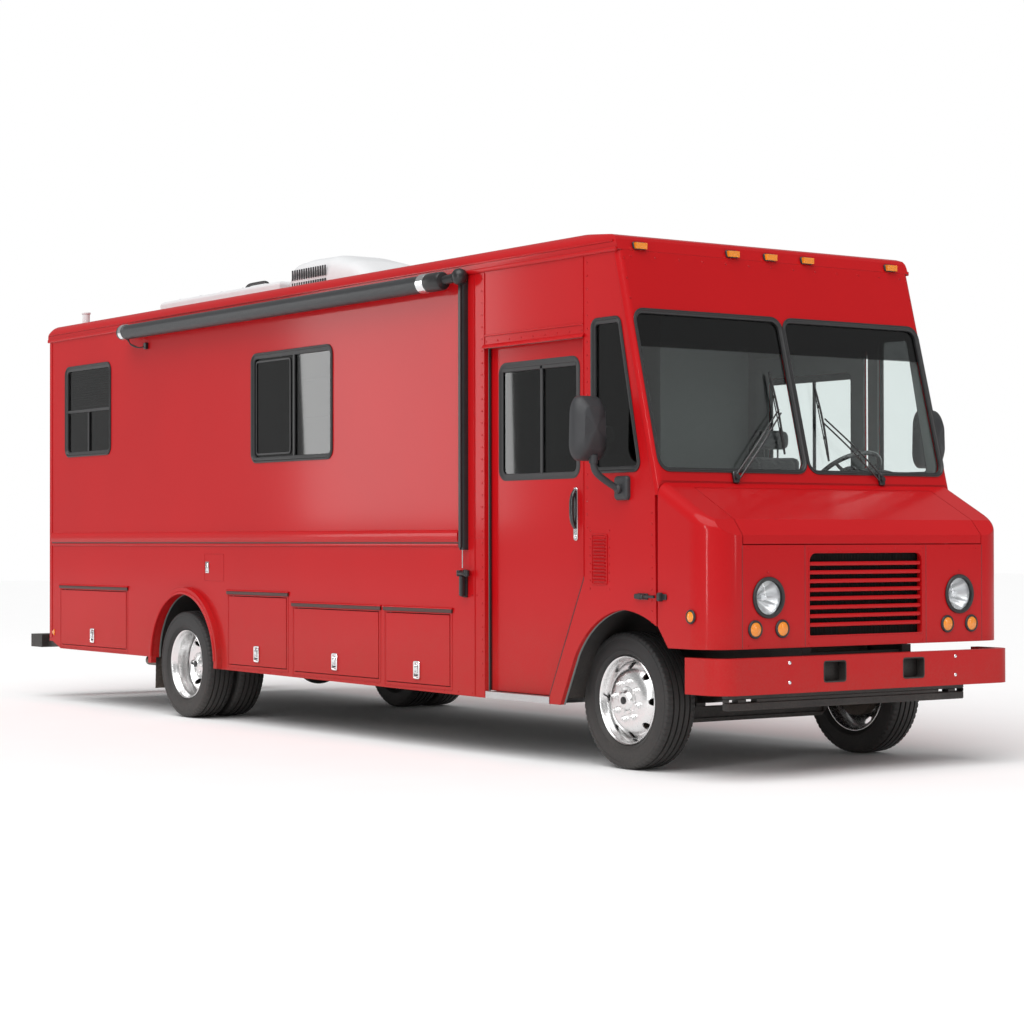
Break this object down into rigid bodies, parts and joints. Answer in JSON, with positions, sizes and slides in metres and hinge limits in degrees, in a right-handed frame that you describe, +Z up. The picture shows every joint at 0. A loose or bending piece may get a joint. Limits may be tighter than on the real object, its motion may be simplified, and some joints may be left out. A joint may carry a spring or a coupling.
{
  "type": "step-van motorhome",
  "caption": "Step-van motorhome: forward cab, sliding cab doors, tilting nose, luggage lockers, rolled awning, roof air conditioner, twin rear wheels.",
  "frame": {"origin": "on the ground under the middle of the overall length, on the vehicle's centre plane", "axes": "+Z up, the front faces -Y, the driver's (left) side is +X"},
  "size_m": [3, 9.32, 3.5294],
  "materials": {
    "red_paint": "gloss",
    "black_steel": "satin",
    "cast_iron": "rough",
    "aluminium": "brushed",
    "dull_steel": "satin",
    "grey_trim": "matte",
    "tinted_glass": "gloss",
    "black_plastic": "matte",
    "awning_black": "matte",
    "white_plastic": "satin",
    "amber_lens": "gloss",
    "lamp_glass": "gloss",
    "black_rubber": "matte",
    "seat_cloth": "matte",
    "polished_steel": "polished",
    "tyre_rubber": "matte"
  },
  "bodies": {
    "vehicle": {"ladder_frame": "black_steel", "floor_bearers": "black_steel", "engine_block": "cast_iron", "front_axle": "black_steel", "leaf_springs": "black_steel", "rear_axle": "black_steel", "driveshaft": "black_steel", "fuel_tank": "aluminium", "exhaust": "dull_steel", "floor": "grey_trim", "roof": "red_paint", "side_walls": "red_paint", "lower_walls": "red_paint", "cab_sides": "red_paint", "rear_wall": "red_paint", "front_wall": "red_paint", "windshields": "tinted_glass", "side_windows": "tinted_glass", "partitions": "grey_trim", "entry_steps": "aluminium", "luggage_bays": "black_steel", "front_bumper": "red_paint", "rear_bumper": "black_steel", "awning": "awning_black", "air_conditioner": "white_plastic", "roof_hatch": "white_plastic", "mirrors": "black_plastic", "wipers": "black_plastic", "body_lamps": "amber_lens", "mudflaps": "black_rubber", "dashboard": "grey_trim", "seats": "seat_cloth"},
    "knuckle_right": {"knuckle_right": "cast_iron"},
    "front_wheel_right": {"front_rim_right": "polished_steel", "front_tyre_right": "tyre_rubber"},
    "rear_wheels_right": {"rear_rims_right": "polished_steel", "rear_tyres_right": "tyre_rubber"},
    "rear_door_right": {"rear_door_right": "red_paint"},
    "knuckle_left": {"knuckle_left": "cast_iron"},
    "front_wheel_left": {"front_rim_left": "polished_steel", "front_tyre_left": "tyre_rubber"},
    "rear_wheels_left": {"rear_rims_left": "polished_steel", "rear_tyres_left": "tyre_rubber"},
    "rear_door_left": {"rear_door_left": "red_paint"},
    "steering_wheel": {"steering_wheel": "black_plastic"},
    "entry_door": {"entry_door": "red_paint", "entry_door_window": "tinted_glass"},
    "driver_door": {"driver_door": "red_paint", "driver_door_window": "tinted_glass"},
    "locker_door_right_1": {"locker_door_right_1": "red_paint"},
    "locker_door_right_2": {"locker_door_right_2": "red_paint"},
    "locker_door_right_3": {"locker_door_right_3": "red_paint"},
    "locker_door_right_4": {"locker_door_right_4": "red_paint"},
    "locker_door_left_1": {"locker_door_left_1": "red_paint"},
    "locker_door_left_2": {"locker_door_left_2": "red_paint"},
    "nose": {"nose_shell": "red_paint", "grille": "red_paint", "headlamps": "lamp_glass", "turn_lamps": "amber_lens"},
    "hood_lid": {"hood_lid": "red_paint"}
  },
  "joints": [
    {"name": "steer_right", "type": "hinge", "parent": "vehicle", "child": "knuckle_right", "pos_m": [-0.77, -3.615, 0.405], "axis": [0, 0, 1], "range_deg": [-33, 33]},
    {"name": "front_wheel_right_roll", "type": "hinge", "parent": "knuckle_right", "child": "front_wheel_right", "pos_m": [-0.904, -3.615, 0.405], "axis": [1, 0, 0], "continuous": true},
    {"name": "rear_wheels_right_roll", "type": "hinge", "parent": "vehicle", "child": "rear_wheels_right", "pos_m": [-0.945, 1.595, 0.405], "axis": [1, 0, 0], "continuous": true},
    {"name": "rear_door_right_hinge", "type": "hinge", "parent": "vehicle", "child": "rear_door_right", "pos_m": [-0.754, 4.097, 1.93], "axis": [0, 0, 1], "range_deg": [0, 105]},
    {"name": "steer_left", "type": "hinge", "parent": "vehicle", "child": "knuckle_left", "pos_m": [0.77, -3.615, 0.405], "axis": [0, 0, 1], "range_deg": [-33, 33]},
    {"name": "front_wheel_left_roll", "type": "hinge", "parent": "knuckle_left", "child": "front_wheel_left", "pos_m": [0.904, -3.615, 0.405], "axis": [1, 0, 0], "continuous": true},
    {"name": "rear_wheels_left_roll", "type": "hinge", "parent": "vehicle", "child": "rear_wheels_left", "pos_m": [0.945, 1.595, 0.405], "axis": [1, 0, 0], "continuous": true},
    {"name": "rear_door_left_hinge", "type": "hinge", "parent": "vehicle", "child": "rear_door_left", "pos_m": [0.754, 4.097, 1.93], "axis": [0, 0, -1], "range_deg": [0, 105]},
    {"name": "steering_wheel_turn", "type": "hinge", "parent": "vehicle", "child": "steering_wheel", "pos_m": [0.715, -3.675, 1.76], "axis": [0, 0.5736, 0.8192], "range_deg": [-495, 495]},
    {"name": "entry_door_slide", "type": "slide", "parent": "vehicle", "child": "entry_door", "axis": [0, 1, 0], "range_m": [0, 0.85]},
    {"name": "driver_door_slide", "type": "slide", "parent": "vehicle", "child": "driver_door", "axis": [0, 1, 0], "range_m": [0, 0.85]},
    {"name": "locker_door_right_1_hinge", "type": "hinge", "parent": "vehicle", "child": "locker_door_right_1", "pos_m": [-1.17, -1.635, 0.867], "axis": [0, 1, 0], "range_deg": [0, 95]},
    {"name": "locker_door_right_2_hinge", "type": "hinge", "parent": "vehicle", "child": "locker_door_right_2", "pos_m": [-1.17, -0.6, 0.867], "axis": [0, 1, 0], "range_deg": [0, 95]},
    {"name": "locker_door_right_3_hinge", "type": "hinge", "parent": "vehicle", "child": "locker_door_right_3", "pos_m": [-1.17, 0.4925, 0.935], "axis": [0, 1, 0], "range_deg": [0, 95]},
    {"name": "locker_door_right_4_hinge", "type": "hinge", "parent": "vehicle", "child": "locker_door_right_4", "pos_m": [-1.17, 3.2325, 0.935], "axis": [0, 1, 0], "range_deg": [0, 95]},
    {"name": "locker_door_left_1_hinge", "type": "hinge", "parent": "vehicle", "child": "locker_door_left_1", "pos_m": [1.17, 0.175, 0.935], "axis": [0, -1, 0], "range_deg": [0, 95]},
    {"name": "locker_door_left_2_hinge", "type": "hinge", "parent": "vehicle", "child": "locker_door_left_2", "pos_m": [1.17, 3.2325, 0.935], "axis": [0, -1, 0], "range_deg": [0, 95]},
    {"name": "nose_tilt", "type": "hinge", "parent": "vehicle", "child": "nose", "pos_m": [0, -4.615, 0.715], "axis": [1, 0, 0], "range_deg": [0, 50]},
    {"name": "hood_lid_hinge", "type": "hinge", "parent": "nose", "child": "hood_lid", "pos_m": [0, -4.177, 1.646], "axis": [-1, 0, 0], "range_deg": [0, 45]}
  ],
  "couplings": [
    {"joint": "steer_left", "follows": "steer_right", "ratio": 1},
    {"joint": "steering_wheel_turn", "follows": "steer_right", "ratio": 15}
  ]
}
